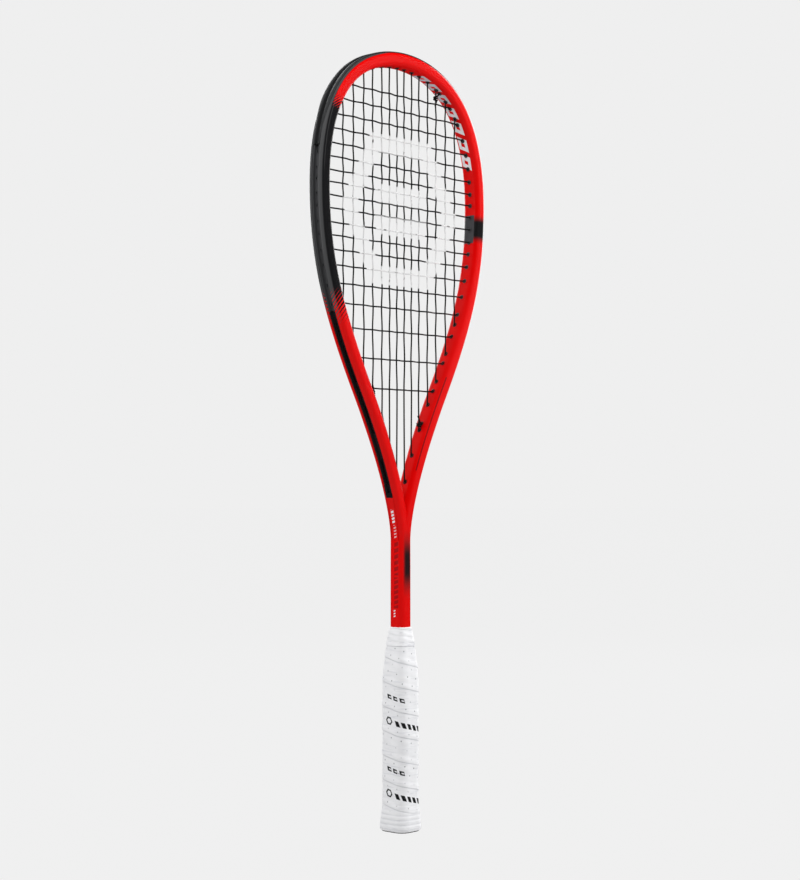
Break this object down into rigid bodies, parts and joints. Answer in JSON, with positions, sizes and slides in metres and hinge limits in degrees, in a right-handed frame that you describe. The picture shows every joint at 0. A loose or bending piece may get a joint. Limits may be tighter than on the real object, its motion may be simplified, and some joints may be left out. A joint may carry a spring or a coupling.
{
  "type": "squash racket",
  "caption": "Squash racket with an open teardrop throat, tapered tubular hoop, woven string bed and wrapped grip.",
  "frame": {"origin": "middle of the butt end, on the face that would stand on a floor", "axes": "+Z along the handle towards the top of the head, +X across the head to the right, -Y out of the front face"},
  "size_m": [0.2148, 0.0336, 0.686],
  "materials": {
    "red_lacquer": "gloss lacquer over fibre composite, fading to black on one side",
    "black_nylon": "satin moulded nylon",
    "black_string": "smooth multifilament string with a pale stencil",
    "handle_foam": "moulded foam",
    "cap_plastic": "moulded plastic",
    "staple_steel": "plain wire",
    "white_grip": "perforated synthetic wrap"
  },
  "bodies": {
    "root": {"frame": "red_lacquer", "bumper_guard": "black_nylon", "grommet_strip_left": "black_nylon", "grommet_strip_right": "black_nylon", "throat_strip_left": "black_nylon", "throat_strip_right": "black_nylon", "main_string": "black_string", "cross_string": "black_string", "pallet_left": "handle_foam", "pallet_right": "handle_foam", "butt_cap": "cap_plastic", "cap_staple_left": "staple_steel", "cap_staple_right": "staple_steel", "grip_tape": "white_grip", "finishing_tape": "white_grip"}
  },
  "joints": []
}
